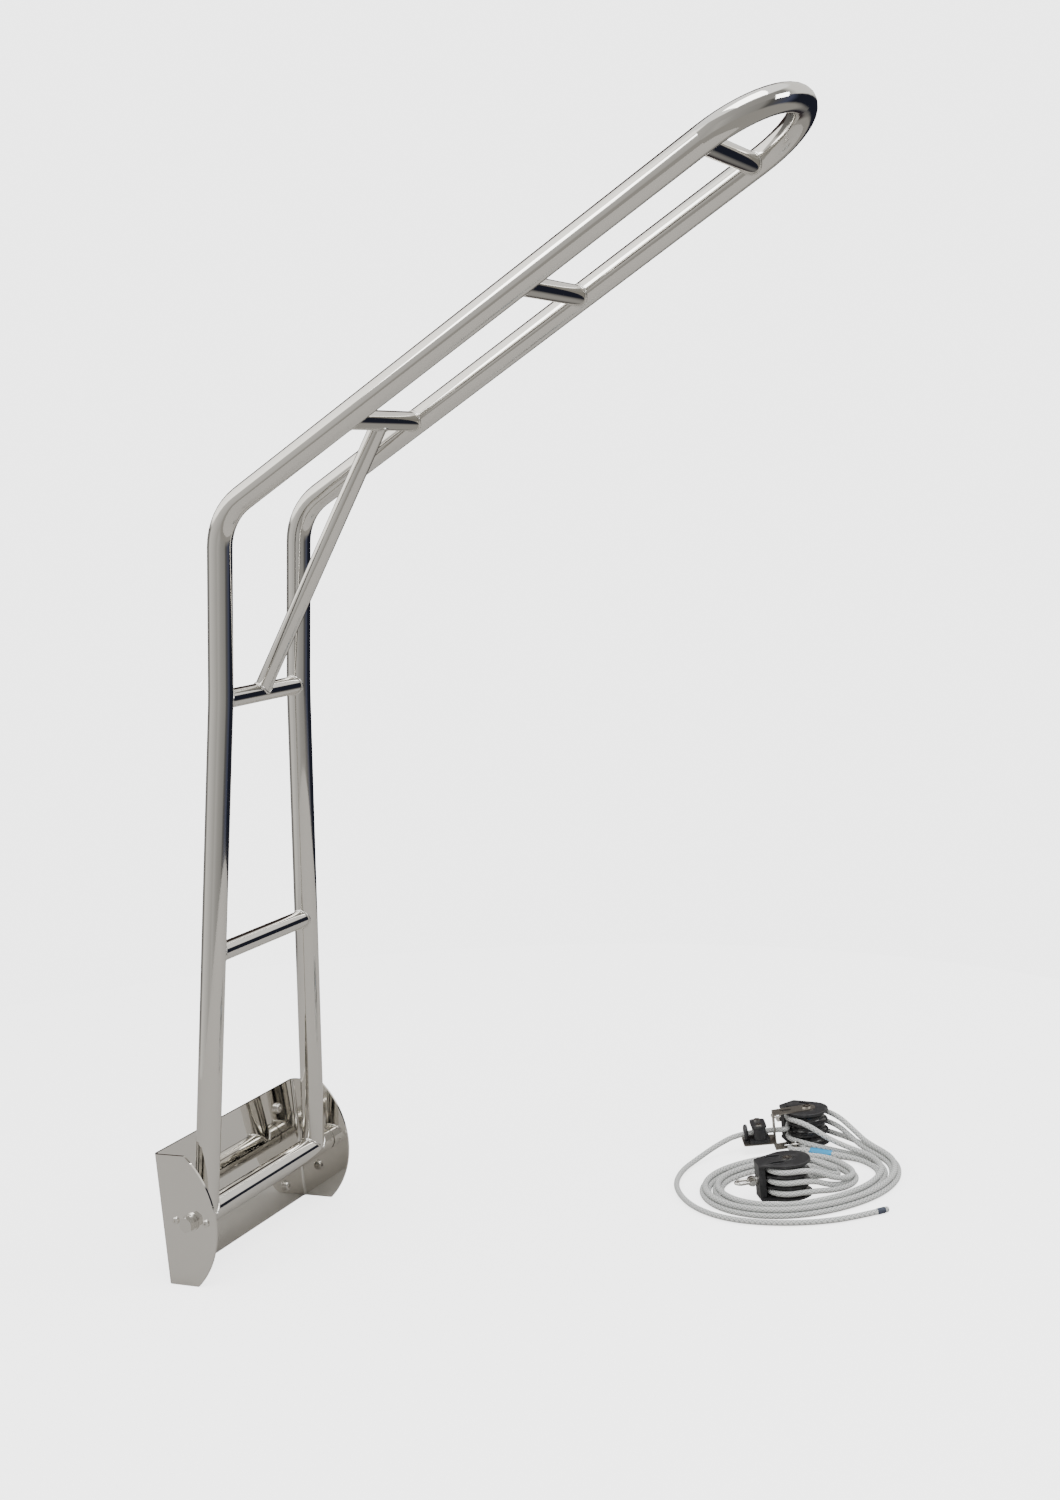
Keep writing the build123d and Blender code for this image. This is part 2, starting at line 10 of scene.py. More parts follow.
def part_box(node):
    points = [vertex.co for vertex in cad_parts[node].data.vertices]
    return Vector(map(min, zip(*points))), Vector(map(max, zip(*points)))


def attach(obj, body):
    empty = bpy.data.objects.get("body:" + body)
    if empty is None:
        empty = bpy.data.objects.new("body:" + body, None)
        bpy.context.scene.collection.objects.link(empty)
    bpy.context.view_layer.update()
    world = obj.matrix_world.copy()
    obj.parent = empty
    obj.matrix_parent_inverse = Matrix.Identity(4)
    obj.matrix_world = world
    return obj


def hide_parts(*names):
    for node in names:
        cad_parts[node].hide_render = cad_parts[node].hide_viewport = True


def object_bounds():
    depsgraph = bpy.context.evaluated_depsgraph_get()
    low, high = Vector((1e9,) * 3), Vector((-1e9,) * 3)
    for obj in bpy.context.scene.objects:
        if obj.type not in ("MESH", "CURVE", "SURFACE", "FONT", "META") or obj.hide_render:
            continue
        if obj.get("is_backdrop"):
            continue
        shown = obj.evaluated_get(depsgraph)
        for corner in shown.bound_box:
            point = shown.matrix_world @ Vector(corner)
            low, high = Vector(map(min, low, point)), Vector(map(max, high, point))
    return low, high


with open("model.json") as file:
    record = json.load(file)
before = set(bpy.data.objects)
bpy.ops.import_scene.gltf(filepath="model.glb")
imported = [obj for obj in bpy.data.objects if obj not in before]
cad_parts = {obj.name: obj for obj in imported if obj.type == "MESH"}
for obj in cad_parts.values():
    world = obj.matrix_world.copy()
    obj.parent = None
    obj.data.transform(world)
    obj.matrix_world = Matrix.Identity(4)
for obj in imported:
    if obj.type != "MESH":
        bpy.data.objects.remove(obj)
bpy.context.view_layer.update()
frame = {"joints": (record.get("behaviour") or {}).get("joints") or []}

bl_info = {
    "name": "Folding stern davit",
    "version": (1, 0, 0),
    "blender": (4, 5, 0),
    "location": "View3D > Sidebar > Davit",
    "description": "Builds the weld beads, ropes and finishes of a folding stern davit and its tackle",
    "category": "Object",
}

MM = 0.001

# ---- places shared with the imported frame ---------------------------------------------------
# The davit is upright about its hinge axis, then leans outboard.
LEAN = radians(7.4)
ARM_ANGLE = radians(55.9)
HINGE = Vector(next(j for j in frame["joints"] if j["name"] == "davit_fold")["pos_m"])
TUBE_R = 16.0 * MM
BAR_R = 12.3 * MM
BRACE_R = 11.0 * MM
LEG_FOOT = 129.4 * MM
LEG_TOP = 89.5 * MM
KINK = 673.6 * MM
KNEE = 906.0 * MM

# The tackle lies on the deck in a frame of its own, turned about +Z.
TACKLE_ORIGIN = (0.352, -0.690, -0.088)
TACKLE_TURN = radians(-64.0)
UPPER_BLOCK = (44.0, 152.0)
UPPER_TURN = radians(-55.0)
LOWER_BLOCK = (-12.0, -46.0)
LOWER_TURN = radians(8.0)
UPPER_LEVELS = (13.7, 28.9, 44.1)
LOWER_LEVELS = (12.1, 27.3, 42.5)
WRAP_R = 29.6
UPPER_TOP = 54.1
LOWER_TOP = 52.5
BECKET = (20.0, 118.0)

# How many sides a braid, a bead and a smooth round are drawn with.
SIDES_PER_CARRIER = 3
BRAID_LIFT = 0.045
BEAD_SIDES = 12
BEAD_RIPPLE, BEAD_RIPPLES = 0.06, 30
CURVE_SIDES = 96


# ---- settings ------------------------------------------------------------------------------
class DavitSteelSettings(bpy.types.PropertyGroup):
    """Polished stainless of the davit and its welds."""

    colour: FloatVectorProperty(
        name="Steel colour", description="Colour of the polished stainless",
        subtype="COLOR", size=3, min=0, max=1, default=(0.76, 0.745, 0.71))
    roughness: FloatProperty(
        name="Polish", description="Roughness of the mirror polish", min=0, max=1, default=0.045)
    bead: FloatProperty(
        name="Weld bead", description="Radius of the weld bead round each joint",
        subtype="DISTANCE", unit="LENGTH", default=0.0017)


class DavitRopeSettings(bpy.types.PropertyGroup):
    """Double-braid rope of the tackle."""

    diameter: FloatProperty(
        name="Rope diameter", description="Diameter of the rope",
        subtype="DISTANCE", unit="LENGTH", default=0.008)
    pitch: FloatProperty(
        name="Braid pitch", description="Length of one braid cell along the rope",
        subtype="DISTANCE", unit="LENGTH", default=0.0024)
    carriers: IntProperty(
        name="Carriers", description="Braid cells round the rope", min=4, max=20, default=16)
    colour: FloatVectorProperty(
        name="Rope colour", description="Main yarn colour",
        subtype="COLOR", size=3, min=0, max=1, default=(0.90, 0.905, 0.88))
    fleck: FloatVectorProperty(
        name="Fleck colour", description="Colour of the fleck yarns",
        subtype="COLOR", size=3, min=0, max=1, default=(0.40, 0.425, 0.425))


class DavitTackleSettings(bpy.types.PropertyGroup):
    """Block, cleat and sleeve finishes."""

    plastic: FloatVectorProperty(
        name="Block plastic", description="Colour of the moulded cheeks",
        subtype="COLOR", size=3, min=0, max=1, default=(0.017, 0.017, 0.019))
    sleeve: FloatVectorProperty(
        name="Splice sleeve", description="Colour of the sleeve over the eye splice",
        subtype="COLOR", size=3, min=0, max=1, default=(0.012, 0.33, 0.66))


class DavitStageSettings(bpy.types.PropertyGroup):
    """Floor, lights and camera."""

    floor_colour: FloatVectorProperty(
        name="Floor colour", description="Colour of the floor",
        subtype="COLOR", size=3, min=0, max=1, default=(0.42, 0.405, 0.385))
    floor_glow: FloatProperty(
        name="Floor glow", description="Light that the paper floor adds to what the camera sees",
        min=0, max=10, default=2.55)
    floor_radius: FloatProperty(
        name="Floor radius", description="Radius of the round floor",
        subtype="DISTANCE", unit="LENGTH", default=1.7)
    lens: FloatProperty(
        name="Lens", description="Focal length of the camera in millimetres", default=43.91)


# ---- surfaces ------------------------------------------------------------------------------
def grid_mesh(name, grid, close_u=False, close_v=False, uv=None, caps=False):
    """Mesh from an n by m grid of points: quads join each point to its next in both directions,
    wrapping where closed, with optional end caps on the first and last row."""
    grid = np.asarray(grid, dtype=float)
    n, m = grid.shape[:2]
    rows = np.arange(n if close_u else n - 1)
    cols = np.arange(m if close_v else m - 1)
    i, j = np.meshgrid(rows, cols, indexing="ij")
    i2, j2 = (i + 1) % n, (j + 1) % m
    quads = np.stack([i * m + j, i2 * m + j, i2 * m + j2, i * m + j2], axis=-1).reshape(-1, 4)
    faces = quads.tolist()
    if caps:
        faces.append(list(range(m)))
        faces.append(list(range((n - 1) * m, n * m))[::-1])
    mesh = bpy.data.meshes.new(name)
    mesh.from_pydata(grid.reshape(-1, 3).tolist(), [], faces)
    if uv is not None:
        corner_uv = np.zeros((len(mesh.loops), 2))
        a, b = uv
        ii = np.stack([i, i + 1, i + 1, i], axis=-1).reshape(-1)
        jj = np.stack([j, j, j + 1, j + 1], axis=-1).reshape(-1)
        corner_uv[: ii.size, 0] = a[ii]
        corner_uv[: jj.size, 1] = b[jj]
        layer = mesh.uv_layers.new(name="UVMap")
        layer.data.foreach_set("uv", corner_uv.reshape(-1))
    mesh.polygons.foreach_set("use_smooth", np.ones(len(mesh.polygons), dtype=bool))
    mesh.validate()
    mesh.update()
    return mesh


def add_piece(name, mesh, material, body):
    """Object at the origin that carries a mesh, a material, a body and a slot."""
    piece = bpy.data.objects.new(name, mesh)
    bpy.context.scene.collection.objects.link(piece)
    if material is not None:
        mesh.materials.append(material)
    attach(piece, body)
    return piece


def path_frames(points):
    """Tangent, side and up along a path: side is tangent cross +Z, up is side cross tangent."""
    points = np.asarray(points, dtype=float)
    tangent = np.gradient(points, axis=0)
    tangent /= np.linalg.norm(tangent, axis=1)[:, None]
    side = np.cross(tangent, np.array([0.0, 0.0, 1.0]))
    side /= np.maximum(np.linalg.norm(side, axis=1)[:, None], 1e-9)
    up = np.cross(side, tangent)
    return tangent, side, up


def resample(points, step):
    """Points at equal steps of arc length along a polyline, by linear interpolation."""
    points = np.asarray(points, dtype=float)
    run = np.linalg.norm(np.diff(points, axis=0), axis=1)
    along = np.concatenate([[0.0], np.cumsum(run)])
    count = max(8, int(round(along[-1] / step)) + 1)
    want = np.linspace(0.0, along[-1], count)
    return np.stack([np.interp(want, along, points[:, k]) for k in range(3)], axis=1), want


def braided_tube(name, points, diameter, pitch, carriers, step=0.0008, swell=None, seal=0.0):
    """Tube along a path whose radius is the rope's plus a small cell pattern: the product of two
    cosines that run round the rope and along it in opposite helices. Swell lists (distance along,
    factor) pairs; seal rounds the far end off over that length, as a quarter ellipse."""
    path, along = resample(points, step)
    _, side, up = path_frames(path)
    sides = SIDES_PER_CARRIER * carriers
    turns = np.linspace(0.0, 2 * pi, sides, endpoint=False)
    angle, run = np.meshgrid(turns, along)
    lift = BRAID_LIFT * diameter
    round_part, along_part = carriers / 2 * angle, pi * run / pitch
    wave = np.cos(round_part + along_part) * np.cos(round_part - along_part)
    radius = diameter / 2 - lift + lift * wave
    if swell is not None:
        radius = radius * np.interp(along, *zip(*swell))[:, None]
    if seal:
        into = np.clip((along - (along[-1] - seal)) / seal, 0.0, 0.999)
        radius = radius * np.sqrt(1 - into**2)[:, None]
    grid = (path[:, None, :] + radius[..., None]
            * (np.cos(angle)[..., None] * side[:, None, :] + np.sin(angle)[..., None] * up[:, None, :]))
    around = np.linspace(0.0, 1.0, sides + 1)
    mesh = grid_mesh(name, grid, close_v=True, uv=(along, around), caps=True)
    return mesh, along[-1]


def bead_mesh(name, centre, axis, radius, other_point, other_axis, other_radius, bead, sign):
    """Weld bead: the curve where a round bar meets a round tube, found by sliding each line of the
    bar's surface along the bar until its distance from the tube's axis is the tube's radius, with
    a small circle carried along that curve and a faint ripple in its size."""
    axis = np.array(axis) / np.linalg.norm(axis)
    other_axis = np.array(other_axis) / np.linalg.norm(other_axis)
    u = np.cross(axis, other_axis)
    u /= np.linalg.norm(u)
    v = np.cross(axis, u)
    turn = np.linspace(0, 2 * pi, 120, endpoint=False)
    ring = np.array(centre) + radius * (np.cos(turn)[:, None] * u + np.sin(turn)[:, None] * v)
    rel = ring - np.array(other_point)
    rel_n = rel - (rel @ other_axis)[:, None] * other_axis
    a_n = axis - (axis @ other_axis) * other_axis
    qa = a_n @ a_n
    qb = rel_n @ a_n
    qc = np.sum(rel_n * rel_n, axis=1) - other_radius**2
    slide = (-qb + sign * np.sqrt(np.maximum(qb * qb - qa * qc, 0.0))) / qa
    curve = ring + slide[:, None] * axis
    outward = np.cos(turn)[:, None] * u + np.sin(turn)[:, None] * v
    tangent = np.roll(curve, -1, axis=0) - np.roll(curve, 1, axis=0)
    tangent /= np.linalg.norm(tangent, axis=1)[:, None]
    out = outward - np.sum(outward * tangent, axis=1)[:, None] * tangent
    out /= np.linalg.norm(out, axis=1)[:, None]
    across = np.cross(tangent, out)
    around = np.linspace(0, 2 * pi, BEAD_SIDES, endpoint=False)
    size = bead * (1 + BEAD_RIPPLE * np.sin(turn * BEAD_RIPPLES))
    grid = (curve[:, None, :] + size[:, None, None]
            * (np.cos(around)[None, :, None] * out[:, None, :]
               + np.sin(around)[None, :, None] * across[:, None, :]))
    return grid_mesh(name, grid[::-1], close_u=True, close_v=True)


# ---- shader groups -------------------------------------------------------------------------
def new_group(name, inputs, outputs):
    """Empty shader group with named sockets; each input is (name, kind, default)."""
    tree = bpy.data.node_groups.new(name, "ShaderNodeTree")
    for label, kind, default in inputs:
        socket = tree.interface.new_socket(label, in_out="INPUT", socket_type=kind)
        if default is not None:
            socket.default_value = default
    for label, kind in outputs:
        tree.interface.new_socket(label, in_out="OUTPUT", socket_type=kind)
    start = tree.nodes.new("NodeGroupInput")
    end = tree.nodes.new("NodeGroupOutput")
    return tree, start, end


def set_inputs(tree, made, inputs):
    """Links or sets each named input of a node, and hands the node back."""
    for key, value in inputs.items():
        if isinstance(value, bpy.types.NodeSocket):
            tree.links.new(value, made.inputs[key])
        else:
            made.inputs[key].default_value = value
    return made


def node(tree, kind, inputs=None, **settings):
    """Node with its settings and its inputs, each a value or another node's socket."""
    made = tree.nodes.new(kind)
    for key, value in settings.items():
        setattr(made, key, value)
    return set_inputs(tree, made, inputs or {})


def maths(tree, operation, a, b=0.0):
    """Output of a Math node on two values or sockets."""
    return node(tree, "ShaderNodeMath", {0: a, 1: b}, operation=operation).outputs[0]


def polish_group():
    """Hand polish: faint smears and fine scratches on a mirror finish."""
    tree, start, end = new_group(
        "HandPolish",
        [("Position", "NodeSocketVector", None), ("Base Roughness", "NodeSocketFloat", 0.05),
         ("Smear", "NodeSocketFloat", 0.05), ("Scratch", "NodeSocketFloat", 0.04)],
        [("Roughness", "NodeSocketFloat"), ("Height", "NodeSocketFloat"),
         ("Dulling", "NodeSocketFloat")])
    place = start.outputs["Position"]
    smear = node(tree, "ShaderNodeTexNoise",
                 {"Vector": place, "Scale": 9.0, "Detail": 4.0, "Roughness": 0.55})
    smear_mask = node(tree, "ShaderNodeMapRange", {0: smear.outputs[0], 1: 0.45, 2: 0.8, 3: 0.0, 4: 1.0})
    stretch = node(tree, "ShaderNodeMapping", {"Vector": place, "Scale": (700.0, 700.0, 45.0)})
    fine = node(tree, "ShaderNodeTexNoise", {"Vector": stretch.outputs[0], "Scale": 1.0, "Detail": 3.0})
    rough = maths(tree, "MULTIPLY", smear_mask.outputs[0], start.outputs["Smear"])
    fine_rough = maths(tree, "MULTIPLY", fine.outputs[0], start.outputs["Scratch"])
    total = maths(tree, "ADD", start.outputs["Base Roughness"], rough)
    total = maths(tree, "ADD", total, fine_rough)
    tree.links.new(total, end.inputs["Roughness"])
    tree.links.new(fine.outputs[0], end.inputs["Height"])
    tree.links.new(smear_mask.outputs[0], end.inputs["Dulling"])
    return tree


def moulding_group():
    """Moulded plastic: fine spark texture, dust in patches and a little scuffing."""
    tree, start, end = new_group(
        "Moulding",
        [("Position", "NodeSocketVector", None), ("Base Roughness", "NodeSocketFloat", 0.4),
         ("Grain", "NodeSocketFloat", 1800.0), ("Colour", "NodeSocketColor", (0.02, 0.02, 0.02, 1)),
         ("Dust Colour", "NodeSocketColor", (0.10, 0.10, 0.10, 1))],
        [("Color", "NodeSocketColor"), ("Roughness", "NodeSocketFloat"), ("Height", "NodeSocketFloat")])
    place = start.outputs["Position"]
    grain = node(tree, "ShaderNodeTexNoise",
                 {"Vector": place, "Scale": start.outputs["Grain"], "Detail": 2.0})
    patch = node(tree, "ShaderNodeTexNoise",
                 {"Vector": place, "Scale": 60.0, "Detail": 6.0, "Roughness": 0.65})
    dust = node(tree, "ShaderNodeMapRange", {0: patch.outputs[0], 1: 0.52, 2: 0.75, 3: 0.0, 4: 0.55})
    mix = node(tree, "ShaderNodeMix", {0: dust.outputs[0], 6: start.outputs["Colour"],
                                       7: start.outputs["Dust Colour"]}, data_type="RGBA")
    dusty = maths(tree, "MULTIPLY", dust.outputs[0], 0.25)
    rough = maths(tree, "ADD", start.outputs["Base Roughness"], dusty)
    tree.links.new(mix.outputs[2], end.inputs["Color"])
    tree.links.new(rough, end.inputs["Roughness"])
    tree.links.new(grain.outputs[0], end.inputs["Height"])
    return tree


def braid_group():
    """Braid cover from a UV whose U is metres along the rope and V is one turn: two families of
    helical yarns, with every third yarn of each in the fleck colour where it lies on top, and
    painted shade that darkens the colour in the grooves between the yarns."""
    tree, start, end = new_group(
        "BraidCover",
        [("UV", "NodeSocketVector", None), ("Pitch", "NodeSocketFloat", 0.0024),
         ("Carriers", "NodeSocketFloat", 16.0), ("Yarn Colour", "NodeSocketColor", (0.8, 0.8, 0.8, 1)),
         ("Fleck Colour", "NodeSocketColor", (0.4, 0.4, 0.4, 1))],
        [("Color", "NodeSocketColor"), ("Height", "NodeSocketFloat")])
    split = node(tree, "ShaderNodeSeparateXYZ", {0: start.outputs["UV"]})
    along = maths(tree, "DIVIDE", split.outputs[0], start.outputs["Pitch"])
    around = maths(tree, "MULTIPLY", split.outputs[1], start.outputs["Carriers"])
    right = maths(tree, "ADD", around, along)
    left = maths(tree, "SUBTRACT", around, along)
    cell_r = maths(tree, "FLOOR", right)
    cell_l = maths(tree, "FLOOR", left)
    over = maths(tree, "PINGPONG", maths(tree, "ADD", cell_r, cell_l), 1.0)
    third_r = maths(tree, "LESS_THAN", maths(tree, "FLOORED_MODULO", cell_r, 3.0), 0.5)
    third_l = maths(tree, "LESS_THAN", maths(tree, "FLOORED_MODULO", cell_l, 3.0), 0.5)
    pick_r = maths(tree, "MULTIPLY", third_r, over)
    pick_l = maths(tree, "MULTIPLY", third_l, maths(tree, "SUBTRACT", 1.0, over))
    fleck = maths(tree, "MAXIMUM", pick_r, pick_l)
    bump_r = maths(tree, "PINGPONG", right, 0.5)
    bump_l = maths(tree, "PINGPONG", left, 0.5)
    yarn = maths(tree, "MULTIPLY", bump_r, bump_l)
    fibre = node(tree, "ShaderNodeTexNoise",
                 {"Vector": node(tree, "ShaderNodeMapping", {"Vector": start.outputs["UV"],
                                 "Scale": (2200.0, 60.0, 1.0)}).outputs[0], "Scale": 1.0, "Detail": 3.0})
    # painted shade: the yarn colour is multiplied down to 0.62 in the grooves between the yarn bumps
    painted_groove_shade = node(tree, "ShaderNodeMapRange", {0: yarn, 1: 0.0, 2: 0.12, 3: 0.62, 4: 1.0})
    tone = node(tree, "ShaderNodeMix", {0: fleck, 6: start.outputs["Yarn Colour"],
                                        7: start.outputs["Fleck Colour"]}, data_type="RGBA")
    groove_shaded_tone = node(tree, "ShaderNodeMix", {0: 1.0, 6: tone.outputs[2], 7: painted_groove_shade.outputs[0]},
                  data_type="RGBA", blend_type="MULTIPLY")
    height = maths(tree, "ADD", maths(tree, "MULTIPLY", yarn, 4.0),
                   maths(tree, "MULTIPLY", fibre.outputs[0], 0.25))
    tree.links.new(groove_shaded_tone.outputs[2], end.inputs["Color"])
    tree.links.new(height, end.inputs["Height"])
    return tree


GROUP_MAKERS = {"HandPolish": polish_group, "Moulding": moulding_group, "BraidCover": braid_group}
GROUPS = {}


def place_group(tree, name, inputs):
    """A named group in a material, made once, with its inputs set or linked."""
    if name not in GROUPS:
        GROUPS[name] = GROUP_MAKERS[name]()
    made = tree.nodes.new("ShaderNodeGroup")
    made.node_tree = GROUPS[name]
    return set_inputs(tree, made, inputs)


def new_material(name):
    """Material with a Principled surface and Object coordinates."""
    material = bpy.data.materials.new(name)
    material.use_nodes = True
    tree = material.node_tree
    shader = tree.nodes["Principled BSDF"]
    where = tree.nodes.new("ShaderNodeTexCoord")
    return material, tree, shader, where


def polished_steel(name, colour, roughness, smear=0.05, scratch=0.03, bump=0.00002, thread=None):
    """Mirror-polished stainless; thread is (axis number, pitch, from) for a screwed stretch."""
    material, tree, shader, where = new_material(name)
    place = where.outputs["Object"]
    polish = place_group(tree, "HandPolish", {"Position": place, "Base Roughness": roughness,
                                              "Smear": smear, "Scratch": scratch})
    tone = node(tree, "ShaderNodeMix", {0: maths(tree, "MULTIPLY", polish.outputs["Dulling"], 0.25),
                                        6: (*colour, 1), 7: tuple(c * 0.9 for c in colour) + (1,)},
                data_type="RGBA")
    tree.links.new(tone.outputs[2], shader.inputs["Base Color"])
    shader.inputs["Metallic"].default_value = 1.0
    tree.links.new(polish.outputs["Roughness"], shader.inputs["Roughness"])
    relief = node(tree, "ShaderNodeBump", {"Height": polish.outputs["Height"], "Distance": bump,
                                           "Strength": 0.06})
    normal = relief.outputs[0]
    if thread is not None:
        axis, pitch, begin = thread
        split = node(tree, "ShaderNodeSeparateXYZ", {0: place})
        wave = maths(tree, "PINGPONG", maths(tree, "DIVIDE", split.outputs[axis], pitch), 0.5)
        inside = maths(tree, "GREATER_THAN", split.outputs[axis], begin)
        cut = node(tree, "ShaderNodeBump", {"Height": maths(tree, "MULTIPLY", wave, inside),
                                            "Distance": pitch, "Strength": 0.9, "Normal": normal})
        normal = cut.outputs[0]
    tree.links.new(normal, shader.inputs["Normal"])
    return material


def moulded_plastic(name, colour, roughness, coat=0.0, dust=0.07):
    """Moulded plastic with a fine surface."""
    material, tree, shader, where = new_material(name)
    made = place_group(tree, "Moulding", {
        "Position": where.outputs["Object"], "Base Roughness": roughness,
        "Colour": (*colour, 1), "Dust Colour": (*[c + dust for c in colour], 1)})
    tree.links.new(made.outputs["Color"], shader.inputs["Base Color"])
    tree.links.new(made.outputs["Roughness"], shader.inputs["Roughness"])
    relief = node(tree, "ShaderNodeBump", {"Height": made.outputs["Height"], "Distance": 0.00008,
                                           "Strength": 0.35})
    tree.links.new(relief.outputs[0], shader.inputs["Normal"])
    shader.inputs["Coat Weight"].default_value = coat
    shader.inputs["Coat Roughness"].default_value = 0.15
    return material


def braid_material(name, colour, fleck, pitch, carriers):
    """Polyester braid: satin sheen, flecked yarns with painted shade in their grooves, and fibre relief.
    """
    material, tree, shader, where = new_material(name)
    cover = place_group(tree, "BraidCover", {
        "UV": where.outputs["UV"], "Pitch": pitch, "Carriers": float(carriers),
        "Yarn Colour": (*colour, 1), "Fleck Colour": (*fleck, 1)})
    tree.links.new(cover.outputs["Color"], shader.inputs["Base Color"])
    relief = node(tree, "ShaderNodeBump", {"Height": cover.outputs["Height"], "Distance": 0.0003,
                                           "Strength": 0.8})
    tree.links.new(relief.outputs[0], shader.inputs["Normal"])
    shader.inputs["Roughness"].default_value = 0.55
    shader.inputs["Sheen Weight"].default_value = 0.25
    shader.inputs["Sheen Roughness"].default_value = 0.4
    return material


def dress(names, material):
    """Gives CAD nodes a finish."""
    for name in names:
        for slot in bpy.data.objects[name].material_slots:
            slot.material = material


def settings():
    """The four groups of settings of the scene."""
    scene = bpy.context.scene
    return scene.davit_steel, scene.davit_rope, scene.davit_tackle, scene.davit_stage


# ---- operators: steel ----------------------------------------------------------------------
TUBES = ["main_tube", "hinge_tube", "lower_rung", "upper_rung", "inner_arm_bar", "middle_arm_bar",
         "outer_arm_bar", "brace_tube"]
SMALL_STEEL = ["transom_washers", "lock_screws", "end_plug_near", "end_plug_far", "hinge_washer_near",
               "hinge_washer_far", "spring_washer_near", "spring_washer_far", "hinge_bolt_near",
               "hinge_bolt_far", "upper_block_axle", "lower_block_axle", "upper_block_eye",
               "lower_block_eye", "upper_shackle", "lower_shackle", "upper_shackle_pin",
               "lower_shackle_pin", "cam_pins"]


class DAVIT_OT_steel(bpy.types.Operator):
    """Finish the tubes, the bracket and the fasteners"""

    bl_idname = "davit.steel"
    bl_label = "Finish the steel"

    def execute(self, context):
        steel = settings()[0]
        colour = tuple(steel.colour)
        tube = polished_steel("PolishedTube", colour, steel.roughness)
        sheet = polished_steel("PolishedSheet", colour, steel.roughness * 0.7, smear=0.07, scratch=0.02)
        bright = polished_steel("BrightFastener", tuple(c * 0.93 for c in colour), 0.16,
                                smear=0.08, scratch=0.10, bump=0.00005)
        screw = polished_steel("ScrewSteel", tuple(c * 0.93 for c in colour), 0.16, smear=0.08,
                               scratch=0.10, bump=0.00005, thread=(1, 0.00125, 0.0))
        strap = polished_steel("DullStrap", (0.36, 0.335, 0.30), 0.30, smear=0.12, scratch=0.15)
        dress(TUBES, tube)
        dress(["hinge_bracket"], sheet)
        dress(SMALL_STEEL, bright)
        dress(["transom_screws"], screw)
        dress(["cam_arm"], strap)
        return {"FINISHED"}


class DAVIT_OT_weld_beads(bpy.types.Operator):
    """Lay the small polished weld beads where tubes and bars meet"""

    bl_idname = "davit.weld_beads"
    bl_label = "Weld beads"

    def execute(self, context):
        steel = settings()[0]
        material = polished_steel("WeldBead", tuple(c * 0.97 for c in steel.colour), 0.11,
                                  smear=0.06, scratch=0.05)
        lean = Matrix.Rotation(LEAN, 4, "X")

        def row(x, y, z):
            return np.array(HINGE + lean @ Vector((x, y, z)))

        def turned(x, y, z):
            return np.array(lean @ Vector((x, y, z)))

        arm = (0.0, -sin(ARM_ANGLE), cos(ARM_ANGLE))
        across = np.array([1.0, 0.0, 0.0])
        bars = {"lower_rung": "leg", "upper_rung": "kink", "inner_arm_bar": "arm",
                "middle_arm_bar": "arm", "outer_arm_bar": "arm"}
        for bar, kind in bars.items():
            low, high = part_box(bar)
            centre = (np.array(low) + np.array(high)) / 2
            for side, word in ((-1, "near"), (1, "far")):
                if kind == "leg":
                    start = row(side * LEG_FOOT, 0, 0)
                    way = turned(side * (LEG_TOP - LEG_FOOT), 0, KINK)
                elif kind == "kink":
                    start = row(side * (LEG_TOP + 0.0005), 0, KINK)
                    way = turned(side * (LEG_TOP - LEG_FOOT) * 0.5, 0, KINK)
                else:
                    start = row(side * LEG_TOP, 0, KNEE)
                    way = turned(*arm)
                mesh = bead_mesh(f"weld_{bar}_{word}", centre, across, BAR_R, start, way, TUBE_R,
                                 steel.bead, -side)
                add_piece(f"weld_{bar}_{word}", mesh, material, "davit")
        for side, word in ((-1, "near"), (1, "far")):
            foot = row(side * LEG_FOOT, 0, 0)
            way = turned(side * (LEG_TOP - LEG_FOOT), 0, KINK)
            mesh = bead_mesh(f"weld_leg_{word}", foot, way, TUBE_R, row(0, 0, 0), across, TUBE_R,
                             steel.bead, 1)
            add_piece(f"weld_leg_{word}", mesh, material, "davit")
        foot = row(0, 0, KINK)
        low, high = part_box("inner_arm_bar")
        head = (np.array(low) + np.array(high)) / 2
        way = head - foot
        for word, place, sign in (("foot", foot, 1), ("head", head, -1)):
            mesh = bead_mesh(f"weld_brace_{word}", foot, way, BRACE_R, place, across, BAR_R,
                             steel.bead, sign)
            add_piece(f"weld_brace_{word}", mesh, material, "davit")
        return {"FINISHED"}


class DAVIT_OT_plastics(bpy.types.Operator):
    """Finish the hinge bushes, block cheeks, sheaves and cam cleat"""

    bl_idname = "davit.plastics"
    bl_label = "Finish the plastics"

    def execute(self, context):
        tackle = settings()[2]
        shell = moulded_plastic("BlockShell", tuple(tackle.plastic), 0.42)
        wheel = moulded_plastic("SheaveNylon", tuple(c * 0.8 for c in tackle.plastic), 0.26, coat=0.3)
        cleat = moulded_plastic("CamNylon", tuple(c * 1.3 for c in tackle.plastic), 0.36)
        acetal = moulded_plastic("Acetal", (0.80, 0.80, 0.77), 0.35, dust=-0.05)
        words = ("upper", "lower")
        parts = ("cheek_top", "cheek_bottom", "dividers", "head")
        dress([f"{word}_block_{part}" for word in words for part in parts], shell)
        dress([f"{word}_sheave_{number}" for word in words for number in (1, 2, 3)], wheel)
        dress(["cam_base", "cam_left", "cam_right", "cam_cap", "cam_fairlead"], cleat)
        dress(["hinge_bush_near", "hinge_bush_far"], acetal)
        return {"FINISHED"}


# ---- operators: rope -----------------------------------------------------------------------
# Middle line of the hank in the tackle's frame, in millimetres.
HANK = [(124, 78), (134, 40), (134, 2), (123, -36), (99, -71), (64, -98), (24, -115), (-20, -121),
        (-62, -110), (-96, -83), (-115, -45), (-117, -4), (-98, 32), (-62, 57), (-20, 69), (18, 68),
        (48, 52), (65, 24)]

